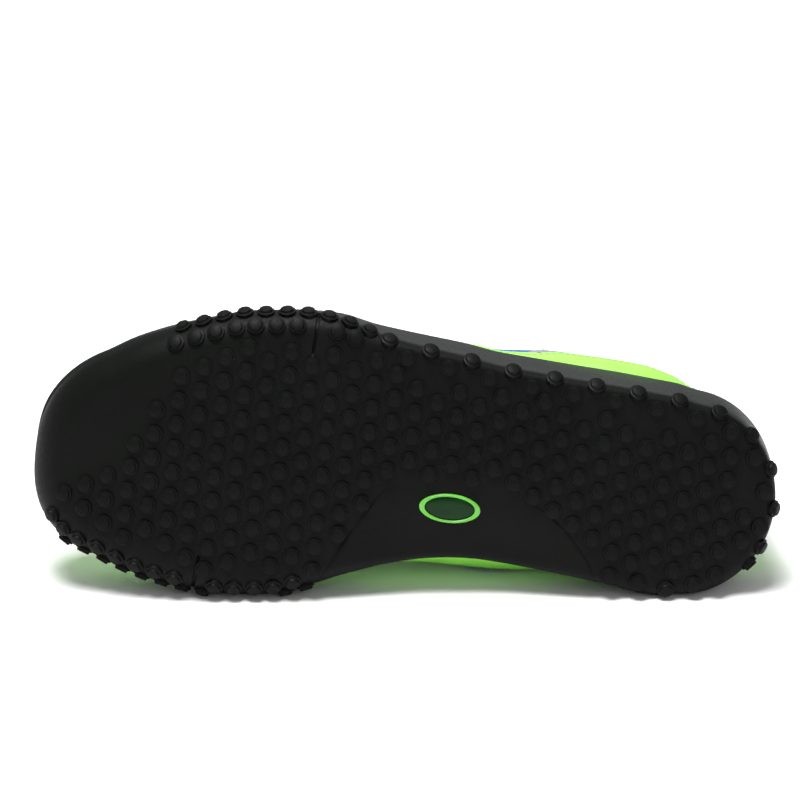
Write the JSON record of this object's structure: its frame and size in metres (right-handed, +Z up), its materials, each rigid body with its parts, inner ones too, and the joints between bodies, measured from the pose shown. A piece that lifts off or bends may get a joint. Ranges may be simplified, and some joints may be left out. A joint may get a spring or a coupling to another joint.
{
  "type": "throwing shoe",
  "caption": "Low left throwing shoe with a studded black sole that wraps the toe and a lime, blue and grey upper, lying on its medial side.",
  "frame": {"origin": "middle of the shoe's box, on the floor that it lies on", "axes": "+X towards the heel along the length, +Y from the sole towards the collar, +Z up; the shoe lies on its medial side with its sole facing -Y"},
  "size_m": [0.2928, 0.1022, 0.1139],
  "materials": {
    "tread_rubber": "matt black moulded rubber",
    "sidewall_rubber": "smooth satin dark rubber",
    "inlay": "glossy lime plastic",
    "upper_synthetic": "satin coated synthetic leather",
    "insole_foam": "brushed fabric over foam",
    "tongue_fabric": "knitted fabric over foam",
    "lace_cord": "flat woven lace"
  },
  "bodies": {
    "root": {"outsole": "tread_rubber", "midsole": "sidewall_rubber", "arch_inlay": "inlay", "upper": "upper_synthetic", "insole": "insole_foam", "tongue": "tongue_fabric", "laces": "lace_cord"}
  },
  "joints": []
}
